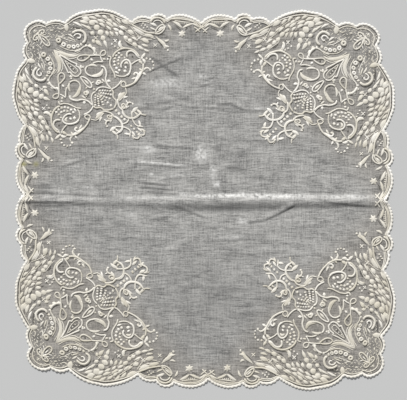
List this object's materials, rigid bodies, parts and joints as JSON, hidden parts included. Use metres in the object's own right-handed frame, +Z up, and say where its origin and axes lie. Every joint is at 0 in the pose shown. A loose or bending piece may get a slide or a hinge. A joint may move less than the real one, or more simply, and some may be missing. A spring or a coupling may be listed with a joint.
{
  "type": "handkerchief",
  "caption": "Square whitework handkerchief of sheer lawn with a scalloped, embroidered border and corners, lying open with its pressed fold raised.",
  "frame": {"origin": "on the resting surface, under the middle of the cloth", "axes": "+Z up out of the cloth's face, +X to the right and +Y to the top of the cloth as it is shown"},
  "size_m": [0.43, 0.427, 0.0044],
  "materials": {
    "lawn": "sheer off-white cotton lawn with cream cotton embroidery"
  },
  "bodies": {
    "root": {"cloth": "lawn"}
  },
  "joints": []
}
